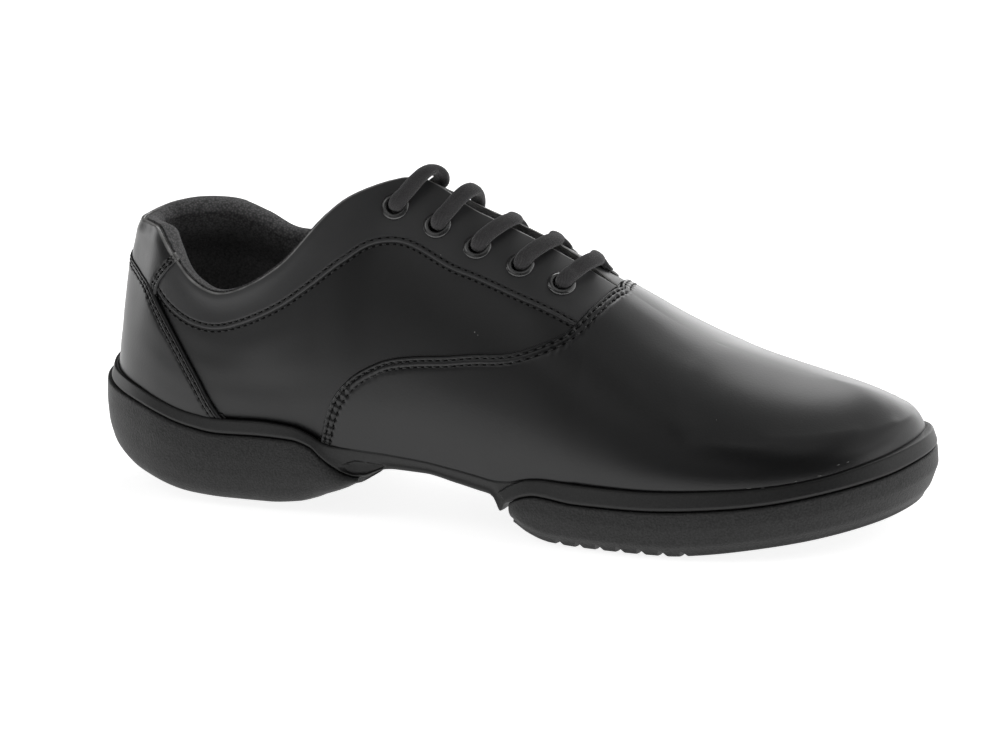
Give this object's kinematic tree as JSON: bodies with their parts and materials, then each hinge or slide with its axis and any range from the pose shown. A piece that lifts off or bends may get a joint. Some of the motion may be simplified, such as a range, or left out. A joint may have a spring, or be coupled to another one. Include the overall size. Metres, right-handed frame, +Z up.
{
  "type": "marching band shoe",
  "caption": "Black lace-up marching band shoe for the right foot: leather upper with vamp, facings and heel counter, rubber cup with separate heel and forefoot blocks.",
  "frame": {"origin": "middle of the box around the shoe, on the floor plane that the heel and forefoot blocks rest on", "axes": "+X from heel to toe, +Y to the medial (inner) side of the foot, +Z up"},
  "size_m": [0.2934, 0.0954, 0.115],
  "materials": {
    "leather": "smooth black leather with fine grain, semi-gloss",
    "rubber": "matte black moulded rubber with a fine texture",
    "sock": "matte black textile over foam",
    "eyelet": "glossy black paint",
    "lace": "matte black woven cotton"
  },
  "bodies": {
    "root": {"cup": "rubber", "heel_block": "rubber", "forefoot_block": "rubber", "insole": "sock", "upper": "leather", "tongue": "leather", "vamp": "leather", "heel_counter": "leather", "heel_tab": "leather", "facing_lateral": "leather", "facing_medial": "leather", "eyelet_lateral_1": "eyelet", "eyelet_lateral_2": "eyelet", "eyelet_lateral_3": "eyelet", "eyelet_lateral_4": "eyelet", "eyelet_lateral_5": "eyelet", "eyelet_medial_1": "eyelet", "eyelet_medial_2": "eyelet", "eyelet_medial_3": "eyelet", "eyelet_medial_4": "eyelet", "eyelet_medial_5": "eyelet", "lace_bar_1": "lace", "lace_bar_2": "lace", "lace_bar_3": "lace", "lace_bar_4": "lace", "lace_bar_5": "lace"}
  },
  "joints": []
}
